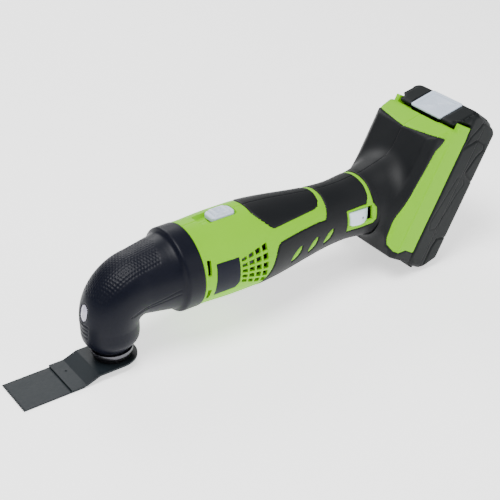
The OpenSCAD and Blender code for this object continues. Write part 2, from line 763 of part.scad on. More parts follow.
module latch_spring() color(steel_c) at_base() translate(latch_mid) rotate([0, latch_turn, 0])
    for (k = [0 : 2]) translate([0, 0, -6 + 0.55 * k]) ring(3, 2.4, 0.5);

housing_half(1);  // housing_left
housing_half(-1);  // housing_right
grip_half(1);  // grip_left
grip_half(-1);  // grip_right
label_plate();
housing_screws();
head_cover();
light_lens();
light_board();
gear_case();
gear_case_screws();
lower_bearing();
upper_bearing();
bearing_retainer();
motor_can();
motor_magnets();
end_bell();
front_bearing();
rear_bearing();
brush_holders();
brushes();
brush_springs();
power_switch();
speed_board();
terminal_block();
terminal_blades();
motor_wires();
battery_wires();
motor_shaft();
armature_stack();
windings();
commutator();
fan();
eccentric();
eccentric_bearing();
spindle();
fork();
spindle_flange();
blade_carrier();
saw_blade();
clamp_washer();
clamp_screw();
switch_button();
switch_link();
dial_wheel();
battery_case_front();
battery_case_back();
cells();
cell_holder();
battery_board();
battery_contacts();
battery_screws();
latch_button();
latch_spring();
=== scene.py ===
"""Looks of the cordless oscillating multi-tool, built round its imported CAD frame.

Mesh code works in millimetres in the part's own frame: the spindle is the Z axis, the handle runs
along +X, and the battery frame (n, s) is tilted from it. The outer skins are fine grids whose
vertices are moved on to the borders of the colour zones, so that each zone is its own crisp piece.
"""

import json
import math

import bpy
import numpy as np
from mathutils import Matrix, Vector


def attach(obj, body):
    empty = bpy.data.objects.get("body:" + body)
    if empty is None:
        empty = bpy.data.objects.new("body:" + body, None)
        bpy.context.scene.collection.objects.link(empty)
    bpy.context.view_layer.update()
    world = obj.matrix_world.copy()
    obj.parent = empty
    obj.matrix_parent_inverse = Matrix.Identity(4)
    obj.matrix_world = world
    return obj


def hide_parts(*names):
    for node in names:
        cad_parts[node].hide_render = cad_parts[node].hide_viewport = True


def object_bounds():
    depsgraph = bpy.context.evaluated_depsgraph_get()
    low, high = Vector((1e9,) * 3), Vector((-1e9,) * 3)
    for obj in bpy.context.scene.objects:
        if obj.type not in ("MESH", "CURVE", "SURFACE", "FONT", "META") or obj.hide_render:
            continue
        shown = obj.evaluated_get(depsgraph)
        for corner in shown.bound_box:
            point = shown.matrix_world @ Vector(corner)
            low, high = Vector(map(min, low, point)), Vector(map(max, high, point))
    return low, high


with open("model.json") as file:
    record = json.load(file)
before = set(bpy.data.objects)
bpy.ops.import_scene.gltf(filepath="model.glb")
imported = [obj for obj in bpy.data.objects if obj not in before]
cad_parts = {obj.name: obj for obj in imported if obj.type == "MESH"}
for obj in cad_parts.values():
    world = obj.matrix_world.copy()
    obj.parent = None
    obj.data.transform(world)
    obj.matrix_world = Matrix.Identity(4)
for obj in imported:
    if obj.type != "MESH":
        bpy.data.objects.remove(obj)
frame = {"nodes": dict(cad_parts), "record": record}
cad_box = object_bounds()

MM = 0.001
AXIS_Z = 57.0  # height of the handle's axis
HOUSING_X = 59.5  # front end of the housing, where the head's collar ends
FLARE_X = 210.0
JOIN_X = 216.0  # where the handle's grid meets the flare's
MOTOR_R = 31.2
GRIP_R = 22.7
NECK_R = 20.3
BASE_X = 261.0  # origin of the battery frame, on the handle's axis
TILT = math.radians(29)  # turn of the battery frame from upright
PACK_HALF = 36.0  # half the width of the battery and its base
PACK_T = 29.5  # thickness of the battery behind its mating plane
PACK_SEAM = 14.0  # where its front and back half meet
CELL = 0.6  # spacing of the fine grids


# ---- small maths ----


def smooth(t):
    """An eased step from 0 to 1."""
    t = np.clip(t, 0.0, 1.0)
    return t * t * (3.0 - 2.0 * t)


def smooth_max(a, b, k):
    """The greater of two values, rounded over k where they meet."""
    h = np.clip(0.5 + 0.5 * (a - b) / k, 0.0, 1.0)
    return b + (a - b) * h + k * h * (1.0 - h)


def smooth_min(a, b, k):
    return -smooth_max(-a, -b, k)


def body_r(x):
    """Outside radius of the handle at x, as in the CAD model."""
    return (
        MOTOR_R
        - 1.1 * (1.0 - smooth((x - HOUSING_X) / 30.0))
        - (MOTOR_R - GRIP_R) * smooth((x - 104.0) / 86.0)
        + 1.5 * smooth((x - 190.0) / 22.0)
        + 6.0 * smooth((x - FLARE_X) / 32.0)
    )


def to_base(p):
    """Points in the battery frame: n away from the handle, s up along the battery, and y."""
    x = p[..., 0] - BASE_X
    z = p[..., 2] - AXIS_Z
    return x * math.cos(TILT) - z * math.sin(TILT), x * math.sin(TILT) + z * math.cos(TILT), p[..., 1]


def from_base(n, y, s):
    """Points from battery-frame coordinates."""
    x = BASE_X + n * math.cos(TILT) + s * math.sin(TILT)
    z = AXIS_Z - n * math.sin(TILT) + s * math.cos(TILT)
    return np.stack([x, y + 0.0 * x, z], -1)


def turn_of(p):
    """Degrees round the handle: 0 at the side, 90 on top, the same on both sides."""
    return np.degrees(np.arctan2(p[..., 2] - AXIS_Z, np.abs(p[..., 1])))


def poly_distance(u, v, corners, radius=0.0):
    """Signed distance to a polygon in the plane, below zero inside, its corners rounded."""
    u, v = np.asarray(u, float), np.asarray(v, float)
    best = np.full(u.shape, 1e9)
    inside = np.zeros(u.shape, bool)
    for (x0, y0), (x1, y1) in zip(corners, corners[1:] + corners[:1]):
        ex, ey = x1 - x0, y1 - y0
        t = np.clip(((u - x0) * ex + (v - y0) * ey) / (ex * ex + ey * ey), 0, 1)
        best = np.minimum(best, np.hypot(u - x0 - t * ex, v - y0 - t * ey))
        crosses = (y0 > v) != (y1 > v)
        inside ^= crosses & (u < (x1 - x0) * (v - y0) / (y1 - y0 + 1e-12) + x0)
    return np.where(inside, -best, best) - radius


# ---- grids ----


def cast(origin, direction, form, far=140.0):
    """Points where rays from inside a form leave it."""
    low = np.zeros(direction.shape[:-1])
    high = np.full(direction.shape[:-1], far)
    for _ in range(34):
        mid = (low + high) / 2
        outside = form(origin + direction * mid[..., None]) > 0
        high = np.where(outside, mid, high)
        low = np.where(outside, low, mid)
    return origin + direction * low[..., None]


def grid_normals(p, outward):
    """Unit normals of a grid of points, on the side of the outward directions."""
    du = np.gradient(p, axis=0)
    dv = np.gradient(p, axis=1)
    n = np.cross(du, dv)
    n /= np.linalg.norm(n, axis=-1, keepdims=True) + 1e-12
    flip = np.sign(np.sum(n * outward, -1, keepdims=True))
    return n * np.where(flip == 0, 1, flip)


def snap(p, border):
    """Moves the nearer vertex of each grid edge that crosses a border to the crossing."""
    value = border(p)
    moved = p.copy()
    best = np.full(value.shape, 0.51)
    for axis, way in ((0, 1), (0, -1), (1, 1), (1, -1)):
        other = np.roll(value, way, axis)
        beside = np.roll(p, way, axis)
        share = value / (value - other + 1e-12)
        close = np.linalg.norm(beside - p, axis=-1) < 6 * CELL
        here = (value * other < 0) & (share < best) & close
        best = np.where(here, share, best)
        moved = np.where(here[..., None], p + (beside - p) * share[..., None], moved)
    return moved


def face_value(border, p, faces):
    """The sum of a border's distance over each face's corners: its sign tells the side."""
    return border(p).reshape(-1)[faces].sum(1)


def grid_faces(rows, cols, closed):
    """Quads of a grid as vertex indices; closed joins the last column to the first."""
    i = np.arange(rows - 1)[:, None]
    j = np.arange(cols if closed else cols - 1)[None, :]
    k = (j + 1) % cols
    quads = np.stack([i * cols + j, i * cols + k, (i + 1) * cols + k, (i + 1) * cols + j], -1)
    return quads.reshape(-1, 4)


def make_object(name, points, faces, material, body, slot=None, smooth_angle=40):
    """A mesh piece in metres from millimetre points, with unused points left out."""
    faces = np.asarray(faces)
    used, index = np.unique(faces, return_inverse=True)
    index = index.reshape(faces.shape)
    points = np.asarray(points).reshape(-1, 3)[used] * MM
    mesh = bpy.data.meshes.new(name)
    mesh.from_pydata(points.tolist(), [], index.tolist())
    mesh.validate()
    obj = bpy.data.objects.new(name, mesh)
    bpy.context.scene.collection.objects.link(obj)
    mesh.materials.append(material)
    mesh.shade_smooth()
    if smooth_angle:
        mesh.set_sharp_from_angle(angle=math.radians(smooth_angle))
    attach(obj, body)
    return obj


def add_modifier(obj, kind, **values):
    m = obj.modifiers.new(kind.lower(), kind)
    for key, value in values.items():
        setattr(m, key, value)
    return m


def thicken(obj, thickness):
    """Gives an open skin its thickness, inwards."""
    return add_modifier(obj, "SOLIDIFY", thickness=thickness * MM, offset=-1.0)


def outward_faces(points, faces, inner):
    """Turns quads so that they face away from the inner point of their first corner."""
    flat = points.reshape(-1, 3)
    inside = np.broadcast_to(inner, points.shape).reshape(-1, 3)
    a, b, c = flat[faces[:, 0]], flat[faces[:, 1]], flat[faces[:, 3]]
    normal = np.cross(b - a, c - a)
    inward = np.sum(normal * (a - inside[faces[:, 0]]), -1) < 0
    return np.where(inward[:, None], faces[:, ::-1], faces)


def shell(outer, inner, faces):
    """A closed shell from an outer skin: the inner skin turned over, and a wall round each border."""
    count = outer.size // 3
    edges = np.stack([faces, np.roll(faces, -1, 1)], -1).reshape(-1, 2)
    key = edges.min(1) * count + edges.max(1)
    _, first, times = np.unique(key, return_index=True, return_counts=True)
    rim = edges[first[times == 1]]
    walls = np.stack([rim[:, 1], rim[:, 0], rim[:, 0] + count, rim[:, 1] + count], -1)
    points = np.concatenate([outer.reshape(-1, 3), inner.reshape(-1, 3)])
    return points, np.concatenate([faces, faces[:, ::-1] + count, walls])


# ---- materials ----


def new_material(name):
    m = bpy.data.materials.new(name)
    m.use_nodes = True
    nodes = m.node_tree.nodes
    return m, nodes, m.node_tree.links, nodes["Principled BSDF"]


def noise_node(nodes, links, coords, scale, detail=3.0, roughness=0.5):
    n = nodes.new("ShaderNodeTexNoise")
    n.inputs["Scale"].default_value = scale
    n.inputs["Detail"].default_value = detail
    n.inputs["Roughness"].default_value = roughness
    links.new(coords.outputs["Object"], n.inputs["Vector"])
    return n


def ramp_node(nodes, links, source, low, high, out_low, out_high):
    r = nodes.new("ShaderNodeMapRange")
    r.inputs["From Min"].default_value = low
    r.inputs["From Max"].default_value = high
    r.inputs["To Min"].default_value = out_low
    r.inputs["To Max"].default_value = out_high
    links.new(source, r.inputs["Value"])
    return r.outputs["Result"]


def moulded(name, colour, rough, grain=900.0, depth=0.05, patchy=0.06, shine=0.5, coat=0.0):
    """Moulded plastic or rubber: a fine grain, patchy gloss and a slight change of shade."""
    m, nodes, links, shader = new_material(name)
    coords = nodes.new("ShaderNodeTexCoord")
    broad = noise_node(nodes, links, coords, 22.0, 4.0)
    fine = noise_node(nodes, links, coords, grain, 2.0, 0.6)
    mix = nodes.new("ShaderNodeMix")
    mix.data_type = "RGBA"
    mix.inputs["A"].default_value = [c * (1 - patchy) for c in colour] + [1]
    mix.inputs["B"].default_value = [min(1, c * (1 + patchy)) for c in colour] + [1]
    links.new(broad.outputs["Fac"], mix.inputs["Factor"])
    links.new(mix.outputs["Result"], shader.inputs["Base Color"])
    gloss = ramp_node(nodes, links, broad.outputs["Fac"], 0.3, 0.7, rough - 0.05, rough + 0.06)
    links.new(gloss, shader.inputs["Roughness"])
    bump = nodes.new("ShaderNodeBump")
    bump.inputs["Strength"].default_value = depth
    bump.inputs["Distance"].default_value = 0.0004
    links.new(fine.outputs["Fac"], bump.inputs["Height"])
    links.new(bump.outputs["Normal"], shader.inputs["Normal"])
    shader.inputs["Specular IOR Level"].default_value = shine
    shader.inputs["Coat Weight"].default_value = coat
    shader.inputs["Coat Roughness"].default_value = 0.25
    return m


def metal(name, colour, rough, stretch=(1, 1, 1), scale=400.0, depth=0.05, metallic=1.0, shine=0.5):
    """Machined or rolled metal: a stretched grain in gloss and bump, with faint stains."""
    m, nodes, links, shader = new_material(name)
    coords = nodes.new("ShaderNodeTexCoord")
    mapping = nodes.new("ShaderNodeMapping")
    mapping.inputs["Scale"].default_value = stretch
    links.new(coords.outputs["Object"], mapping.inputs["Vector"])
    grain = nodes.new("ShaderNodeTexNoise")
    grain.inputs["Scale"].default_value = scale
    grain.inputs["Detail"].default_value = 4.0
    links.new(mapping.outputs["Vector"], grain.inputs["Vector"])
    stain = noise_node(nodes, links, coords, 60.0, 5.0)
    mix = nodes.new("ShaderNodeMix")
    mix.data_type = "RGBA"
    mix.inputs["A"].default_value = [c * 0.82 for c in colour] + [1]
    mix.inputs["B"].default_value = [min(1, c * 1.12) for c in colour] + [1]
    links.new(stain.outputs["Fac"], mix.inputs["Factor"])
    links.new(mix.outputs["Result"], shader.inputs["Base Color"])
    gloss = ramp_node(nodes, links, grain.outputs["Fac"], 0.25, 0.75, rough - 0.08, rough + 0.1)
    links.new(gloss, shader.inputs["Roughness"])
    bump = nodes.new("ShaderNodeBump")
    bump.inputs["Strength"].default_value = depth
    bump.inputs["Distance"].default_value = 0.0003
    links.new(grain.outputs["Fac"], bump.inputs["Height"])
    links.new(bump.outputs["Normal"], shader.inputs["Normal"])
    shader.inputs["Metallic"].default_value = metallic
    shader.inputs["Specular IOR Level"].default_value = shine
    return m


MATERIALS = {
    "green_plastic": moulded("green_plastic", (0.175, 0.48, 0.0), 0.45, shine=0.12, grain=1500,
                             depth=0.04, patchy=0.04),
    "black_overmould": moulded("black_overmould", (0.0055, 0.0063, 0.0075), 0.52, shine=0.16,
                               grain=1100, depth=0.12, patchy=0.2),
    "head_plastic": moulded("head_plastic", (0.0022, 0.0030, 0.0080), 0.44, shine=0.14, grain=1300,
                            depth=0.08, patchy=0.2),
    "label_film": moulded("label_film", (0.002, 0.003, 0.010), 0.45, shine=0.15, grain=600, depth=0.02,
                          patchy=0.1),
    "battery_plastic": moulded("battery_plastic", (0.0055, 0.0070, 0.0075), 0.55, shine=0.16,
                               grain=1400, depth=0.16, patchy=0.12),
    "grey_plastic": moulded("grey_plastic", (0.50, 0.57, 0.68), 0.38, grain=1200, depth=0.05, patchy=0.05),
    "pale_plastic": moulded("pale_plastic", (0.62, 0.72, 0.84), 0.42, grain=1000, depth=0.05, patchy=0.05),
    "lens": moulded("lens", (0.42, 0.40, 0.50), 0.15, grain=500, depth=0.03, patchy=0.1, coat=0.6),
    "board": moulded("board", (0.02, 0.12, 0.04), 0.35, grain=500, depth=0.05, patchy=0.2),
    "cast_metal": metal("cast_metal", (0.30, 0.31, 0.33), 0.5, scale=900, depth=0.2),
    "steel": metal("steel", (0.55, 0.56, 0.58), 0.32, stretch=(1, 1, 6)),
    "bright_steel": metal("bright_steel", (0.09, 0.09, 0.10), 0.32, stretch=(1, 1, 14), depth=0.08),
    "blade_steel": metal("blade_steel", (0.006, 0.010, 0.013), 0.5, stretch=(1, 12, 1), scale=500,
                         depth=0.08, metallic=0.0, shine=0.22),
    "motor_steel": metal("motor_steel", (0.10, 0.10, 0.11), 0.45, stretch=(8, 1, 1)),
    "magnet": metal("magnet", (0.07, 0.07, 0.075), 0.6, scale=700, depth=0.15, metallic=0.5),
    "copper": metal("copper", (0.65, 0.26, 0.10), 0.35, stretch=(1, 8, 8), scale=900, depth=0.3),
    "contact_brass": metal("contact_brass", (0.72, 0.52, 0.18), 0.3, stretch=(1, 1, 8)),
    "dark_plastic": moulded("dark_plastic", (0.008, 0.009, 0.011), 0.5, patchy=0.1),
    "wire_cover": moulded("wire_cover", (0.35, 0.02, 0.02), 0.4, patchy=0.1),
    "cell_wrap": moulded("cell_wrap", (0.05, 0.20, 0.42), 0.3, patchy=0.08, coat=0.3),
}




def dress_cad_nodes():
    """Every CAD node gets its slot's detailed material."""
    for sub in frame["record"]["subparts"]:
        obj = frame["nodes"][sub["node"]]
        obj.data.materials.clear()
        obj.data.materials.append(MATERIALS[sub["material_slot"]])


# ---- handle: colour zones, in millimetres along the handle and degrees round it ----

ROUND = 26.0 * math.pi / 180  # millimetres per degree on the handle

TOP_PANEL = [(109.5, 92), (109.6, 70), (112.2, 58), (119.2, 40), (121.5, 39), (142, 43), (160.5, 47.5),
             (164.5, 51), (167.5, 62), (169, 80), (169.2, 92)]
MIDDLE_ZONE = [(122.8, 18.5), (141, 22.5), (161, 25), (164.5, 24), (167, 24), (169.4, 33), (171.2, 50),
               (172.2, 68), (172.6, 92), (230, 92), (230, -92), (106, -92), (108.4, -55), (111.5, -32),
               (115, -14), (118.2, 6), (120.6, 15)]
RING = [(209.2, 92), (209.2, 60), (208.2, 40), (205.5, 27), (206, 21), (211, 21), (211.2, 40), (211.8, 60),
        (211.9, 92)]
SLASHES = [((132.7, -22), (142.2, -1)), ((149.1, -21), (158.2, 1)), ((164.6, -21), (173.4, 3.5))]
BEZEL = [(187.5, 25), (205, 26), (211.5, 23), (213.5, 15), (213, -8), (210, -14.5), (197.5, -18.5),
         (187, -17.5)]
DIAL_GAP = [(188.6, 21.5), (209.2, 21.5), (209.2, -6), (188.6, -7.5)]
LABEL = [(69.4, 20.5), (86.9, 19.5), (86.7, -18), (84.5, -24.5), (67.6, -27.5)]
SLOTS = [[(62.6, 29), (65.6, 27.5), (64.4, 6.5), (61.5, 7.5)],
         [(61.6, -13.5), (64.4, -15), (63, -31), (60.7, -30)]]


def unrolled(p):
    """The handle's surface laid flat: along it, and round it."""
    return p[..., 0], turn_of(p) * ROUND


def zone(corners, radius=0.0):
    """The signed distance to a zone on the handle, as a function of points."""
    flat = [(x, a * ROUND) for x, a in corners]

    def distance(p):
        u, v = unrolled(p)
        return poly_distance(u, v, flat, radius)

    return distance


def lens(ends, half_width):
    """A lens between two points on the handle: where two circles overlap."""
    (x0, a0), (x1, a1) = ends
    v0, v1 = a0 * ROUND, a1 * ROUND
    half = math.hypot(x1 - x0, v1 - v0) / 2
    radius = (half * half + half_width * half_width) / (2 * half_width)
    ux, uv = (x1 - x0) / (2 * half), (v1 - v0) / (2 * half)
    mx, mv = (x0 + x1) / 2, (v0 + v1) / 2
    off = radius - half_width

    def distance(p):
        u, v = unrolled(p)
        a = np.hypot(u - mx + uv * off, v - mv - ux * off)
        b = np.hypot(u - mx - uv * off, v - mv + ux * off)
        return np.maximum(a, b) - radius

    return distance


SCREW_SPOTS = [(123, -22), (176, 15.8), (176, -15.8), (226, 10)]
SCREW_R = 2.8
# Each turn of a well's section: radius, whether it reaches the skin, depth from the seam
SCREW_WELL = [(0.05, False, 10.2), (3.6, False, 10.2), (3.6, True, 11.0), (SCREW_R, True, 11.0),
              (SCREW_R, False, 11.0), (0.05, False, 11.0)]
VENT_X = (87.6, 111.2)
VENT_LOW = (-8.8, -18.2)  # the lowest and highest line of the vents, at their front and rear end
VENT_HIGH = (7.9, 12.7)
VENT_RIB = 1.5


def vent_distance(p):
    """Signed distance to the vent holes: a fan of four columns by five rows with ribs between."""
    u, v = unrolled(p)
    along = (u - VENT_X[0]) / (VENT_X[1] - VENT_X[0])
    low = VENT_LOW[0] + (VENT_LOW[1] - VENT_LOW[0]) * along
    high = VENT_HIGH[0] + (VENT_HIGH[1] - VENT_HIGH[0]) * along
    column = np.clip(np.floor(along * 4), 0, 3)
    row = np.clip(np.floor((v - low) / (high - low) * 5), 0, 4)
    pitch = (VENT_X[1] - VENT_X[0]) / 4
    tall = (high - low) / 5
    du = np.abs(u - VENT_X[0] - (column + 0.5) * pitch) - (pitch - VENT_RIB) / 2
    dv = np.abs(v - low - (row + 0.5) * tall) - (tall - VENT_RIB) / 2
    return smooth_max(du, dv, 0.5)


MIDDLE = zone(MIDDLE_ZONE)
RING_ZONE = zone(RING)
TOP = zone(TOP_PANEL)
SLASH_LENSES = [lens(ends, 2.2) for ends in SLASHES]
BEZEL_ZONE = zone(BEZEL)
GAP_ZONE = zone(DIAL_GAP)
LABEL_ZONE = zone(LABEL)
SLOT_ZONES = [zone(corners) for corners in SLOTS]


def black_distance(p):
    """Below zero where the handle is overmoulded."""
    d = np.maximum(MIDDLE(p), -RING_ZONE(p))
    for lens_zone in SLASH_LENSES:
        d = np.maximum(d, -lens_zone(p))
    near_side = p[..., 1] < 0
    d = np.where(near_side, np.maximum(d, -BEZEL_ZONE(p)), d)
    return np.minimum(d, TOP(p))


def hole_distance(p):
    """Below zero in every opening of the handle."""
    d = vent_distance(p)
    for slot_zone in SLOT_ZONES:
        d = np.minimum(d, slot_zone(p))
    d = np.where(p[..., 1] < 0, np.minimum(d, GAP_ZONE(p)), d)
    stem = np.maximum(np.abs(p[..., 0] - 88.5) - 8.0, np.abs(p[..., 1]) - 3.4)
    d = np.where(p[..., 2] > AXIS_Z + 20, np.minimum(d, stem), d)
    return np.minimum(d, screw_distance(p))


def screw_distance(p):
    """Signed distance to the holes over the housing screws, all on the left side."""
    d = np.full(p.shape[:-1], 50.0)
    for x, z in SCREW_SPOTS:
        d = np.minimum(d, np.hypot(p[..., 0] - x, p[..., 2] - AXIS_Z - z) - SCREW_R)
    return np.where(p[..., 1] > 0, d, 50.0)


def well_distance(p):
    """Signed distance to the switch's recess on top of the housing."""
    x = np.maximum(np.abs(p[..., 0] - 86.3) - 12.0, 0)
    y = np.maximum(np.abs(p[..., 1]) - 4.2, 0)
    return np.where(p[..., 2] > AXIS_Z + 20, np.hypot(x, y) - 3.0, 50.0)


def groove(distance, width, depth):
    """A rounded channel along a border."""
    return -depth * np.exp(-((distance / width) ** 2))


def body_relief(p):
    """How far the skin stands proud of the plain turned form."""
    d = black_distance(p)
    h = 0.28 * smooth(-d / 0.9)
    h += groove(d, 0.42, 0.45)
    h += groove(p[..., 1], 0.22, 0.35)
    h -= 3.2 * smooth(-well_distance(p) / 0.9)
    label = LABEL_ZONE(p)
    near = groove(label, 0.35, 0.35) - 0.25 * smooth(-label / 0.4)
    near += 0.35 * smooth((1.0 - np.abs(BEZEL_ZONE(p) + 1.4)) / 0.8)
    return h + np.where(p[..., 1] < 0, near, 0)


def handle_grid():
    """Points over the turned handle, with their outward directions."""
    rows = int((JOIN_X - HOUSING_X) / CELL)
    cols = int(2 * math.pi * 29 / CELL) // 4 * 4
    x = np.linspace(HOUSING_X + 0.1, JOIN_X, rows)[:, None]
    a = (np.arange(cols) * 2 * math.pi / cols)[None, :]
    r = body_r(x)
    p = np.stack([x + 0 * a, r * np.cos(a), AXIS_Z + r * np.sin(a)], -1)
    out = np.stack([0 * x + 0 * a, np.cos(a) + 0 * x, np.sin(a) + 0 * x], -1)
    return p, out


def side_name(left):
    return "left" if left else "right"


def seam(p):
    return p[..., 1]


def split_pieces(p, faces, skin, normals, kinds, prefix_of, thickness):
    """Cuts a grid into pieces by kind and by side of the seam."""
    on_left = face_value(seam, p, faces) > 0
    pieces = {}
    for kind, chosen in kinds.items():
        for left in (True, False):
            mine = chosen & (on_left == left)
            if not mine.any():
                continue
            prefix, material, slot = prefix_of[kind]
            points, quads = shell(skin, skin - normals * thickness[kind], faces[mine])
            name = f"{prefix}_{side_name(left)}"
            pieces[kind, left] = make_object(name, points, quads, MATERIALS[material], "tool", slot)
    return pieces


def build_handle():
    """The housing's green shell and its black overmould from the collar to the flare."""
    p, out = handle_grid()
    normals = grid_normals(p, out)
    for border in (black_distance, well_distance, hole_distance, seam):
        p = snap(p, border)
    relief = p + normals * body_relief(p)[..., None]
    faces = grid_faces(*p.shape[:2], True)
    faces = outward_faces(p, faces, p * (1, 0, 0) + (0, 0, AXIS_Z))

    solid = face_value(hole_distance, p, faces) > 0
    black = face_value(black_distance, p, faces) < 0
    kinds = {"green": solid & ~black, "black": solid & black}
    names = {"green": ("handle_shell", "green_plastic", "green_plastic"),
             "black": ("handle_grip", "black_overmould", "black_overmould")}
    return split_pieces(p, faces, relief, normals, kinds, names, {"green": 2.4, "black": 1.3})


# ---- flare and battery base ----

# Faces of the battery base as half spaces: a direction and its distance, in (n, |y|) and in (n, s)
BASE_PLAN = [(0.0, 1.0, 36.0), (-0.23, 0.973, 38.5), (-0.80, 0.60, 41.2), (-1.0, 0.0, 31.0)]
BASE_SIDE = [(-0.68, 0.733, 52.5), (0.0, 1.0, 55.6), (0.0, -1.0, 50.0), (-0.86, -0.51, 43.5)]
FRAME_SIDE = [(20, -42), (20, 62), (-40, 62), (-40, 47.5), (-19.5, 47.0), (-20.8, 42.0), (-23.2, 36.5),
              (-24.5, 20), (-26.5, 0), (-29.2, -18), (-30.2, -30), (-29.4, -37), (-26, -42), (-20, -44.8),
              (-14.5, -45), (-8.2, -41.4), (-1.8, -42)]  # the green frame's side, as (n, s)
CENTRE = np.array([250.0, 0.0, AXIS_Z])  # rays for the flare's grid start here
FLARE_START = math.atan2(body_r(np.array(JOIN_X)), CENTRE[0] - JOIN_X)


def base_form(p):
    """The battery base: a block with bevelled front edges, as rounded half spaces."""
    n, s, y = to_base(p)
    y = np.abs(y)
    d = n - 6.0
    for a, b, c in BASE_PLAN:
        d = smooth_max(d, a * n + b * y - c, 0.9)
    for a, b, c in BASE_SIDE:
        d = smooth_max(d, a * n + b * s - c, 1.6)
    return d


def flare_form(p):
    """Below zero inside the handle's rear end as it flows into the battery base."""
    tube = np.hypot(p[..., 1], p[..., 2] - AXIS_Z) - body_r(p[..., 0])
    return smooth_max(smooth_min(tube, base_form(p), 9.0), np.abs(p[..., 1]) - 35.95, 0.4)


def frame_distance(p):
    """Below zero on the green frame round the battery's mating plane."""
    n, s, y = to_base(p)
    side = poly_distance(n, s, FRAME_SIDE)
    lip = 30.4 - np.abs(y)
    side = smooth_max(side, lip, 0.8)
    band = 43.0 + 4.0 * np.abs(y) / 34.0 - s
    return np.minimum(side, band)


def back_distance(p):
    """Below zero ahead of the battery's mating plane."""
    return to_base(p)[0] + 0.1


def rail_distance(p):
    """Below zero in the notch that lets the battery's rails out at the top of the base."""
    n, s, y = to_base(p)
    return np.maximum(np.maximum(np.abs(y) - 26.0, -10.3 - n), 40.0 - s)


def flare_relief(p):
    """How far the flare's skin stands off its plain form: overmould, seam and a dip for the latch."""
    d = frame_distance(p)
    n, s, y = to_base(p)
    h = groove(d, 0.5, 0.5)
    h += 0.35 * smooth((d - 0.2) / 1.2)
    h += groove(p[..., 1], 0.22, 0.35)
    h -= 0.5 * smooth((-15.0 - n) / 0.9) * smooth(-d / 1.5) * smooth((46.0 - s) / 3.0)
    dip = smooth((n + 17.0) / 0.8) * smooth((-4.0 - n) / 0.8) * smooth((17.6 - np.abs(y)) / 0.8)
    return h - 1.5 * dip * (s > 50)


def build_flare():
    """The flare and the green frame that meets the battery, as a grid of rays from inside."""
    rows = 240
    cols = 460
    u = np.linspace(0, 1, rows)[:, None]
    a = (np.arange(cols) * 2 * math.pi / cols)[None, :]
    end = np.radians(108 + 30 * np.sin(a))
    alpha = FLARE_START + u * (end - FLARE_START)
    direction = np.stack([-np.cos(alpha), np.sin(alpha) * np.cos(a), np.sin(alpha) * np.sin(a)], -1)
    p = cast(CENTRE, direction, flare_form)
    normals = grid_normals(p, direction)
    for border in (frame_distance, seam, back_distance, screw_distance, rail_distance):
        p = snap(p, border)
    relief = p + normals * flare_relief(p)[..., None]
    relief[..., 1] = np.clip(relief[..., 1], -PACK_HALF, PACK_HALF)
    faces = grid_faces(rows, cols, True)
    faces = outward_faces(p, faces, CENTRE)

    ahead = face_value(back_distance, p, faces) < 0
    for opening in (screw_distance, rail_distance):
        ahead &= face_value(opening, p, faces) > 0
    green = face_value(frame_distance, p, faces) < 0
    kinds = {"green": ahead & green, "black": ahead & ~green}
    names = {"green": ("base_frame", "green_plastic", "green_plastic"),
             "black": ("flare_grip", "black_overmould", "black_overmould")}
    return split_pieces(p, faces, relief, normals, kinds, names, {"green": 2.6, "black": 1.4})


def build_screw_wells():
    """Tubes from the skin down to the heads of the housing screws."""
    turns = np.arange(48) * math.pi / 24
    points, faces = [], []
    for x, z in SCREW_SPOTS:
        for radius, at_skin, deep in SCREW_WELL:
            px = x + radius * np.cos(turns)
            pz = AXIS_Z + z + radius * np.sin(turns)
            start = np.stack([px, deep + 0 * px, pz], -1)
            if at_skin:
                start = cast(start, np.zeros_like(start) + (0, 1, 0), flare_form) - (0, 0.6, 0)
            points.append(start)
        base = (len(points) - len(SCREW_WELL)) * len(turns)
        faces.append(grid_faces(len(SCREW_WELL), len(turns), True)[:, ::-1] + base)
    wells = make_object("screw_wells", np.concatenate(points), np.concatenate(faces),
                        MATERIALS["dark_plastic"], "tool", "black_overmould")
    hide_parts("housing_left")


def blocks(name, boxes, material, body, slot, bevel=0.5):
    """Blocks in the battery frame joined into one piece, each (n0, n1, y0, y1, s0, s1)."""
    points, faces = [], []
    for n0, n1, y0, y1, s0, s1 in boxes:
        base = 8 * len(points)
        corner = np.array([(n, y, s) for n in (n0, n1) for y in (y0, y1) for s in (s0, s1)], float)
        points.append(from_base(corner[:, 0], corner[:, 1], corner[:, 2]))
        sides = [(0, 1, 3, 2), (4, 6, 7, 5), (0, 4, 5, 1), (2, 3, 7, 6), (0, 2, 6, 4), (1, 5, 7, 3)]
        faces += [[base + i for i in side] for side in sides]
    obj = make_object(name, np.concatenate(points), faces, material, body, slot, smooth_angle=0)
    add_modifier(obj, "BEVEL", width=bevel * MM, segments=3, limit_method="NONE")
    return obj


def build_socket():
    """The base's inside, seen when the battery is off: channel floor, cheeks, lips and posts."""
    green = MATERIALS["green_plastic"]
    for left in (True, False):
        side = 1 if left else -1
        span = [(-12.5, -10.5, 0.2, 26.0, -44, 46), (-12.5, -0.2, 26.1, 34.0, -44, 44),
                (-3.2, -0.2, 21.3, 26.1, -44, 38), (-12.5, -0.2, 0.2, 30.0, -49, -44.1),
                (-12.5, -0.2, 31.5, 35.8, 40, 60.8)]
        boxes = [(a, b, min(side * c, side * d), max(side * c, side * d), e, f) for a, b, c, d, e, f in span]
        obj = blocks(f"base_socket_{side_name(left)}", boxes, green, "tool", "green_plastic")
        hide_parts(f"housing_{side_name(left)}")


# ---- head cover ----

BEND_START_R = 23.15
BEND_CLEAR = 1.0
ELBOW_X = NECK_R + BEND_CLEAR
ELBOW_Z = AXIS_Z - BEND_START_R - BEND_CLEAR


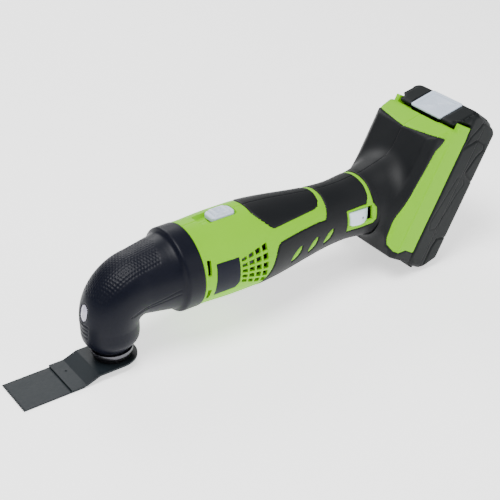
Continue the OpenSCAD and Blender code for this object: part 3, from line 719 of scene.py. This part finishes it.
def head_sections():
    """Cross-sections from the collar's rear edge to the mouth: centre x, centre z, turn, radius."""
    rear = [(59.35, 28.4), (59.35, 29.9), (59.1, 30.3), (58.6, 30.5), (53.0, 30.5), (47.6, 30.5),
            (46.6, 30.25), (46.0, 29.7), (45.4, 28.7), (44.6, 27.75), (43.6, 27.2), (42.2, 26.8),
            (39.5, 26.2), (35.0, 25.45), (30.5, 24.7), (25.5, 23.9)]
    rows = [(x, AXIS_Z, 0.0, r) for x, r in rear]
    for t in range(0, 91, 5):
        a = math.radians(t)
        r = BEND_START_R + (NECK_R - BEND_START_R) * t / 90
        c = r + BEND_CLEAR
        rows.append((ELBOW_X - c * math.sin(a), ELBOW_Z + c * math.cos(a), a, r))
    neck = [(29.5, 20.3), (26, 20.25), (24, 20.05), (22, 19.6), (20.4, 18.8), (19, 17.8), (17.6, 16.5),
            (16.4, 15.2), (15.6, 14.4), (15.1, 13.9), (15.0, 13.2), (15.4, 12.6), (17.0, 12.4)]
    rows += [(0.0, z, math.pi / 2, r) for z, r in neck]
    return np.array(rows)


def head_grid():
    """Sections resampled evenly along their outer side, with points evenly round each."""
    rows = head_sections()
    mid = rows[:, :2]
    top = mid + rows[:, 3:4] * np.stack([-np.sin(rows[:, 2]), np.cos(rows[:, 2])], -1)
    length = np.concatenate([[0], np.cumsum(np.linalg.norm(np.diff(top, axis=0), axis=1))])
    even = np.linspace(0, length[-1], int(length[-1] / CELL))
    at = np.stack([np.interp(even, length, rows[:, k]) for k in range(4)], -1)
    cols = 288
    a = (np.arange(cols) * 2 * math.pi / cols)[None, :]
    ca, sa = np.cos(a), np.sin(a)
    x, z, t, r = (at[:, k][:, None] for k in range(4))
    p = np.stack([x - r * ca * np.sin(t), r * sa, z + r * ca * np.cos(t)], -1)
    out = np.stack([-ca * np.sin(t), sa + 0 * t, ca * np.cos(t)], -1)
    return p, out


def dimple_relief(p):
    """Rows of small round hollows over the top of the head."""
    x, y, z = p[..., 0], p[..., 1], p[..., 2]
    along = np.where(x > 0, x, 1.25 * x)
    pitch = 2.3
    row_pitch = 0.87 * pitch
    row = np.round(y / row_pitch)
    shift = np.where(np.mod(row, 2) == 0, 0.0, 0.5)
    du = (along / pitch - shift - np.round(along / pitch - shift)) * pitch
    dv = y - row * row_pitch
    hollow = -0.42 * np.exp(-((np.hypot(du, dv) / 0.75) ** 2))
    edge = 16.5 + 0.05 * x - np.abs(y)
    length = np.minimum(38.0 - x - 0.25 * np.abs(y), x + 15.5 - 0.2 * np.abs(y))
    inside = smooth(edge / 1.5) * smooth(length / 2.0) * (z > AXIS_Z)
    return hollow * inside


def crease(p, a, b, width, depth):
    """A shallow channel on both sides of the head from a to b, each (x, z)."""
    ex, ez = b[0] - a[0], b[1] - a[1]
    u = p[..., 0] - a[0]
    v = p[..., 2] - a[1]
    t = np.clip((u * ex + v * ez) / (ex * ex + ez * ez), 0, 1)
    d = np.hypot(u - t * ex, v - t * ez)
    return groove(d, width, depth) * (np.abs(p[..., 1]) > 8)


def lens_distance(p):
    """Signed distance to the work light's window: an upright oval on the front of the head."""
    y, z = p[..., 1], p[..., 2]
    d = np.hypot(y, np.maximum(np.abs(z - 46.5) - 1.6, 0)) - 4.4
    return np.where(p[..., 0] < -8, d, 50.0)


def head_relief(p):
    """The head's dimples, side creases, front ribs, lens seat and the lug under its collar."""
    x, y, z = p[..., 0], p[..., 1], p[..., 2]
    h = dimple_relief(p)
    h += crease(p, (42, 56.2), (6, 44.6), 0.45, 0.38)
    h += crease(p, (42, 52.6), (8, 44.2), 0.45, 0.38)
    front = x < -8
    for k in range(4):
        rib = np.abs(z - (38.4 - 3.3 * k)) / 0.55
        reach = smooth((7.2 - 0.6 * k - np.abs(y)) / 0.8)
        h += np.where(front, -0.55 * np.exp(-(rib**2)) * reach, 0)
    h += np.where(front, groove(lens_distance(p) - 0.5, 0.45, 0.4), 0)
    lug = smooth((8.5 - np.abs(y)) / 1.2) * smooth((x - 50.0) / 1.5) * smooth((60.5 - x) / 1.0)
    h += np.where(z < AXIS_Z - 24, 1.0 * lug, 0)
    return h


def build_head():
    """The head cover and the window of its work light."""
    p, out = head_grid()
    normals = grid_normals(p, out)
    p = snap(p, lens_distance)
    relief = p + normals * head_relief(p)[..., None]
    faces = outward_faces(p, grid_faces(*p.shape[:2], True), p - out)
    in_lens = face_value(lens_distance, p, faces) < 0
    points, quads = shell(relief, relief - normals * 1.8, faces[~in_lens])
    cover = make_object("head_skin", points, quads, MATERIALS["head_plastic"], "tool", "head_plastic")
    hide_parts("head_cover")
    sunk = p - out * (0.5 - 1.1 * smooth(-lens_distance(p) / 4.5))[..., None]
    points, quads = shell(sunk, sunk - normals * 1.2, faces[in_lens])
    window = make_object("light_window", points, quads, MATERIALS["lens"], "tool", "lens")
    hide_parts("light_lens")


# ---- battery ----

PACK_OUTLINE = [(0.5, -46.5), (7.6, -53.6), (PACK_T - 12, -53.8), (PACK_T, -41.8), (PACK_T, 62),
                (PACK_T - 2.6, 68.6), (20.5, 71.2), (3.6, 74.0), (-17.1, 56.7), (0.5, 56.7)]
PACK_EDGE = 3.2
HOOD_STEP = 5.0  # the hood over the base is narrower than the pack by this on each side
PACK_CORNER = 5.0  # radius of the battery's corners seen from behind


def pack_half(n, s):
    """Half the width of the battery: corners rounded seen from behind, narrower in the hood."""
    top = 74.0 - 0.3 * np.maximum(n - 3.6, 0)
    past = np.clip(np.maximum(s - top, -53.8 - s) + PACK_CORNER, 0, PACK_CORNER)
    corner = PACK_CORNER - np.sqrt(PACK_CORNER**2 - past**2)
    above_posts = smooth((s - 61.2) / 2.5)
    hood = HOOD_STEP * smooth((1.2 - n) / 2.2) * smooth((s - 50.0) / 3.0) * (1 - 0.8 * above_posts)
    return PACK_HALF - np.maximum(0.92 * corner, hood)


def outline_points(corners, radius, per_corner=8):
    """A closed outline with each corner rounded."""
    result = []
    count = len(corners)
    for i in range(count):
        a, b, c = (np.array(corners[(i + k) % count], float) for k in (-1, 0, 1))
        u, v = a - b, c - b
        lu, lv = np.linalg.norm(u), np.linalg.norm(v)
        u, v = u / lu, v / lv
        half = math.acos(max(-1, min(1, float(u @ v)))) / 2
        reach = min(radius / math.tan(half), 0.45 * lu, 0.45 * lv)
        for k in range(per_corner + 1):
            t = k / per_corner
            p0, p2 = b + u * reach, b + v * reach
            result.append(tuple((1 - t) ** 2 * p0 + 2 * t * (1 - t) * b + t * t * p2))
    return result


SIDE_BAND = [(2.8, 45), (13.7, 54.6), (22, 53), (24.2, 48.8), (20.2, 43.2), (16.6, 28.1), (27.3, 23.2),
             (40, 23.2), (40, 67), (26.3, 67), (11.1, 68), (8.6, 61.6), (5.4, 56.1)]
SIDE_FOOT = [(40, -24.3), (26.7, -24.3), (19.6, -26.8), (17.8, -34.5), (18.1, -60), (40, -60)]
SIDE_FRAME = [(10.8, 23.9), (17.5, 23), (20.2, 19.3), (17.7, 11.6), (12.5, -19), (6.5, -21.5), (3.8, -16)]


def pack_side_relief(n, s):
    """Height of the battery's side from its flat: a sunk band, a line round the foot, and a frame."""
    band = poly_distance(n, s, SIDE_BAND)
    foot = poly_distance(n, s, SIDE_FOOT)
    frame_line = poly_distance(n, s, SIDE_FRAME)
    h = groove(band, 0.7, 0.9) - 0.3 * smooth(-band / 0.6)
    h += groove(foot, 0.7, 0.9)
    h += groove(frame_line, 0.4, 0.3)
    return h - 0.3


LATCH_MID = (-5.6, 66.2)
LATCH_TURN = math.radians(-41.6)
LATCH_WINDOW = 17.2  # half the width of the opening round the latch


def on_latch(a, b, h):
    """Points on the battery's latch: a up its slope, b across, h out of it."""
    n = LATCH_MID[0] + a * math.cos(LATCH_TURN) + h * math.sin(LATCH_TURN)
    s = LATCH_MID[1] - a * math.sin(LATCH_TURN) + h * math.cos(LATCH_TURN)
    return from_base(n, b, s)


def latch_gap(n, s):
    """Below zero over the length of the latch's windows in the top and the underside of the hood."""
    a = (n - LATCH_MID[0]) * math.cos(LATCH_TURN) - (s - LATCH_MID[1]) * math.sin(LATCH_TURN)
    h = (n - LATCH_MID[0]) * math.sin(LATCH_TURN) + (s - LATCH_MID[1]) * math.cos(LATCH_TURN)
    under = np.maximum(np.abs(n + 11.9) - 3.5, s - 57.0)
    return np.minimum(np.maximum(np.abs(a + 0.8) - 13.3, np.abs(h) - 2.0), under)


def pack_cap(sign, outline):
    """One side of the battery as a fine height field inside its outline."""
    n0, n1 = -17.6, PACK_T + 0.3
    s0, s1 = -54.2, 74.4
    n = np.linspace(n0, n1, int((n1 - n0) / CELL))[:, None]
    s = np.linspace(s0, s1, int((s1 - s0) / CELL))[None, :]
    n, s = n + 0 * s, s + 0 * n

    def depth_in(a, b):
        return -poly_distance(a, b, outline)

    d = depth_in(n, s)
    flat = snap(np.stack([n, s, 0 * n], -1), lambda q: depth_in(q[..., 0], q[..., 1]))
    n, s = flat[..., 0], flat[..., 1]
    d = depth_in(n, s)
    d = np.where(np.abs(d) < 0.04, 0.0, d)
    inner = np.clip(PACK_EDGE - d, 0, PACK_EDGE)
    drop = PACK_EDGE - np.sqrt(np.maximum(PACK_EDGE**2 - inner**2, 0))
    half = pack_half(n, s)
    height = half - drop + pack_side_relief(n, s) * smooth(d / 1.5)
    height = np.where(d <= 0, half - PACK_EDGE, height)
    points = from_base(n, sign * height, s)
    faces = grid_faces(*n.shape, False)
    if sign < 0:
        faces = faces[:, ::-1]
    centre_d = d.reshape(-1)[faces].min(1)
    mid_n = n.reshape(-1)[faces].mean(1)
    inside = centre_d >= 0
    return points.reshape(-1, 3), faces[inside], mid_n[inside]


def pack_rim(outline, columns=25):
    """The battery's back, ends and front: its outline swept across its width."""
    dense = []
    for (a0, b0), (a1, b1) in zip(outline, outline[1:] + outline[:1]):
        steps = max(1, int(math.hypot(a1 - a0, b1 - b0) / CELL))
        dense += [(a0 + (a1 - a0) * k / steps, b0 + (b1 - b0) * k / steps) for k in range(steps)]
    flat = np.array(dense)
    share = np.linspace(-1, 1, columns)[None, :]
    n = flat[:, 0][:, None] + 0 * share
    s = flat[:, 1][:, None] + 0 * share
    beyond = np.maximum(np.abs(share) - 0.5, 0) * 2 * (pack_half(n, s) - PACK_EDGE - LATCH_WINDOW)
    y = np.sign(share) * (np.minimum(np.abs(share), 0.5) * 2 * LATCH_WINDOW + beyond)
    points = from_base(n, y, s)
    rows = len(flat)
    i = np.arange(rows)[:, None]
    j = np.arange(columns - 1)[None, :]
    k = (i + 1) % rows
    faces = np.stack([i * columns + j, k * columns + j, k * columns + j + 1, i * columns + j + 1], -1)
    faces = faces.reshape(-1, 4)
    faces = outward_faces(points, faces, from_base(12.0 + 0 * n, y, np.minimum(s, 60.0)))
    in_gap = latch_gap(n, s).reshape(-1)[faces].mean(1) < 0
    beside = np.abs(y).reshape(-1)[faces].mean(1) >= LATCH_WINDOW
    faces = faces[~in_gap | beside]
    return points.reshape(-1, 3), faces, n.reshape(-1)[faces].mean(1)


def build_battery():
    """The battery's two case halves, each from its share of the sides and the rim."""
    outline = outline_points(PACK_OUTLINE, 4.0)
    parts = [pack_cap(1, outline), pack_cap(-1, outline), pack_rim(outline)]
    for name, front in (("pack_front", True), ("pack_back", False)):
        points, faces, base = [], [], 0
        for pts, quads, mid_n in parts:
            mine = (mid_n < PACK_SEAM) == front
            points.append(pts)
            faces.append(quads[mine] + base)
            base += len(pts)
        obj = make_object(name, np.concatenate(points), np.concatenate(faces), MATERIALS["battery_plastic"],
                          "battery", "battery_plastic")
        weld = add_modifier(obj, "WELD", merge_threshold=0.00005)
        weld.mode = "ALL"
        thicken(obj, 1.6)
        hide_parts("battery_case_front" if front else "battery_case_back")


def rounded_outline(half_a, half_b, corner, count=96):
    """Points round a rectangle with rounded corners."""
    points = []
    for quarter in range(4):
        cx = (half_a - corner) * (1 if quarter in (0, 3) else -1)
        cy = (half_b - corner) * (1 if quarter in (0, 1) else -1)
        for k in range(count // 4):
            t = math.pi / 2 * (quarter + k / (count // 4 - 1))
            points.append((cx + corner * math.cos(t), cy + corner * math.sin(t)))
    return np.array(points)


def pad(name, outline, top, depth, edge, place, material, body, slot, rings=26):
    """A rounded pad: its top is a height function, its edge is rounded, its sides drop by depth."""
    size = np.abs(outline).max()
    scales = list(np.linspace(0.02, 1 - edge / size, rings))
    layers = [(k, 0.0) for k in scales]
    for t in np.radians((22, 45, 68, 90)):
        layers.append((1 - edge / size * (1 - math.sin(t)), edge * (1 - math.cos(t))))
    layers += [(1.0, depth), (0.02, depth)]
    rows = []
    for scale, drop in layers:
        a, b = outline[:, 0] * scale, outline[:, 1] * scale
        height = top(a, b) * (1.0 if drop < depth else 0.0)
        rows.append(place(a, b, height - drop))
    points = np.array(rows)
    faces = grid_faces(len(layers), len(outline), True)
    faces = outward_faces(points, faces, points.mean((0, 1)))
    return make_object(name, points, faces, material, body, slot)


SWITCH_X = 90.5


def build_switch():
    """The slide switch: a thumb pad with three ribs across it."""
    def top(a, b):
        ribs = 1.5 * np.abs(np.cos(math.pi * a / 4.6)) ** 0.6 * smooth((7.2 - np.abs(a)) / 0.7)
        crown = -0.010 * b * b
        return ribs * smooth((5.6 - np.abs(b)) / 1.2) + crown

    def place(a, b, h):
        return np.stack([SWITCH_X + a, b, AXIS_Z + 31.8 + h], -1)

    button = pad("switch_pad", rounded_outline(10, 6.3, 4), top, 3.2, 1.1, place, MATERIALS["grey_plastic"],
                 "slide_switch", "grey_plastic", rings=44)
    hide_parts("switch_button")


def build_latch():
    """The release button: a raised border round a finely ribbed field."""
    def top(a, b):
        inset = np.minimum(9.6 - np.abs(a), 13.9 - np.abs(b))
        field = smooth(inset / 0.9)
        return -0.75 * field + 0.18 * field * np.cos(2 * math.pi * b / 1.7)

    def place(a, b, h):
        return on_latch(a, b, h + 0.6)

    button = pad("latch_pad", rounded_outline(12, 16.6, 2.2, 160), top, 1.4, 0.6, place,
                 MATERIALS["grey_plastic"], "battery_latch", "grey_plastic", rings=70)
    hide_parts("latch_button")


DIAL = (197.5, -10.2, AXIS_Z - 3.4)  # the dial wheel's axis and underside
DIAL_R = 14.0


def build_dial():
    """The speed dial: a knurled cup-shaped wheel with a dark dot on its rim."""
    profile = [(1.6, 0), (13.2, 0), (13.9, 0.3), (DIAL_R, 1.0)]
    profile += [(DIAL_R, 1.0 + 9.0 * k / 16) for k in range(1, 17)]
    profile += [(13.9, 10.7), (13.2, 11.0), (9.4, 11.0), (9.0, 10.6), (9.0, 2.0), (1.6, 2.0), (1.6, 0)]
    turns = np.arange(360) * math.pi / 180
    rows = []
    for r, z in profile:
        knurl = 0.16 * (0.5 - 0.5 * np.cos(30 * turns)) * (r > 13) * smooth((min(z, 11 - z)) / 1.2)
        radius = r - knurl
        rim = np.stack([radius * np.cos(turns), radius * np.sin(turns), z + 0 * turns], -1)
        rows.append(rim + DIAL)
    points = np.array(rows)
    faces = grid_faces(len(profile), 360, True)
    wheel = make_object("dial_rim", points, faces[:, ::-1], MATERIALS["pale_plastic"], "speed_dial",
                        "pale_plastic")
    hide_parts("dial_wheel")

    def on_rim(a, b, h):
        turn = math.radians(281) + a / DIAL_R
        radius = DIAL_R + h
        return np.stack([radius * np.cos(turn), radius * np.sin(turn), 5.1 + b], -1) + DIAL

    pad("dial_mark", rounded_outline(0.8, 0.8, 0.79, 32), lambda a, b: 0.1 + 0 * a, 0.5, 0.1, on_rim,
        MATERIALS["dark_plastic"], "speed_dial", "dark_plastic", rings=4)


def build_pack_rails():
    """The battery's sliding block: a floor, five fins between the contact slots and two lips."""
    fins = [(-20.8, -9.8), (-8.2, -3.8), (-2.2, 2.2), (3.8, 8.2), (9.8, 20.8)]
    boxes = [(-9.8, -0.9, a, b, -40, 40) for a, b in fins] + [(-1, 0.9, -20.8, 20.8, -40, 40)]
    boxes += [(-9.8, -3.6, -25.5, -20.7, -40, 40), (-9.8, -3.6, 20.7, 25.5, -40, 40)]
    obj = blocks("pack_rail_block", boxes, MATERIALS["battery_plastic"], "battery", "battery_plastic")
    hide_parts("battery_case_front")


METAL_NODES = ("saw_blade", "blade_carrier", "spindle_flange", "clamp_washer", "clamp_screw",
               "housing_screws")


def soften_metal():
    """Breaks the edges of the metal parts that show."""
    for node in METAL_NODES:
        obj = frame["nodes"][node]
        add_modifier(obj, "WELD", merge_threshold=0.00001)
        add_modifier(obj, "BEVEL", width=0.12 * MM, segments=2, limit_method="ANGLE",
                     angle_limit=math.radians(30))


# ---- scene ----


def build_floor():
    """A pale paper floor that glows a little, as a light table does."""
    half = 3.0
    steps = 60
    grid = np.linspace(-half, half, steps)
    x, y = np.meshgrid(grid, grid, indexing="ij")
    z = np.full(x.shape, cad_box[0][2] - 0.0002)
    points = np.stack([x, y, z], -1).reshape(-1, 3)
    mesh = bpy.data.meshes.new("floor")
    mesh.from_pydata(points.tolist(), [], grid_faces(steps, steps, False).tolist())
    floor = bpy.data.objects.new("floor", mesh)
    bpy.context.scene.collection.objects.link(floor)
    paper = moulded("floor_paper", (0.98, 0.98, 0.98), 0.75, grain=300, depth=0.02, patchy=0.005)
    shader = paper.node_tree.nodes["Principled BSDF"]
    shader.inputs["Emission Color"].default_value = (1, 1, 1, 1)
    shader.inputs["Emission Strength"].default_value = 1.1
    mesh.materials.append(paper)


def area_light(name, place, target, size, power):
    """A round soft light, in metres and watts."""
    light = bpy.data.lights.new(name, "AREA")
    light.shape = "DISK"
    light.size = size
    light.energy = power
    obj = bpy.data.objects.new(name, light)
    obj.location = place
    obj.rotation_euler = (Vector(target) - Vector(place)).to_track_quat("-Z", "Y").to_euler()
    bpy.context.scene.collection.objects.link(obj)


def build_lights():
    """Soft studio light: a key from above, a fill, a rim light and a pale surround."""
    middle = (0.12, 0.0, 0.06)
    area_light("key", (-0.30, -0.20, 1.35), middle, 0.8, 30)
    area_light("fill", (0.9, -1.2, 0.7), middle, 1.2, 8)
    area_light("rim", (0.4, 1.3, 0.9), middle, 0.8, 12)
    world = bpy.data.worlds.new("studio")
    world.use_nodes = True
    world.node_tree.nodes["Background"].inputs["Color"].default_value = (1.0, 1.0, 1.0, 1)
    world.node_tree.nodes["Background"].inputs["Strength"].default_value = 0.38
    bpy.context.scene.world = world


def build_camera():
    """A perspective camera at the angle, distance and field of view of the product photograph."""
    aim = Vector((0.1158, 0.0, 0.0487))
    distance = 0.8618
    azimuth, elevation, roll = (math.radians(v) for v in (-34.26, 31.07, -0.53))
    right = Vector((math.cos(azimuth), math.sin(azimuth), 0))
    level = Vector((math.sin(azimuth), -math.cos(azimuth), 0))
    back = level * math.cos(elevation) + Vector((0, 0, math.sin(elevation)))
    up = back.cross(right)
    right, up = right * math.cos(roll) + up * math.sin(roll), up * math.cos(roll) - right * math.sin(roll)
    camera = bpy.data.cameras.new("camera")
    camera.lens = 86.4
    camera.sensor_width = 36
    camera.clip_start = 0.05
    obj = bpy.data.objects.new("camera", camera)
    turn = Matrix((right, up, back)).transposed()
    obj.matrix_world = Matrix.Translation(aim + back * distance) @ turn.to_4x4()
    bpy.context.scene.collection.objects.link(obj)
    bpy.context.scene.camera = obj


dress_cad_nodes()
handle = build_handle()
flare = build_flare()
build_head()
build_battery()
build_socket()
build_screw_wells()
build_pack_rails()
build_switch()
build_latch()
build_dial()
soften_metal()
for is_left in (True, False):
    side = side_name(is_left)
    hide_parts(f"housing_{side}")
    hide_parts(f"grip_{side}")
build_floor()
build_lights()
build_camera()
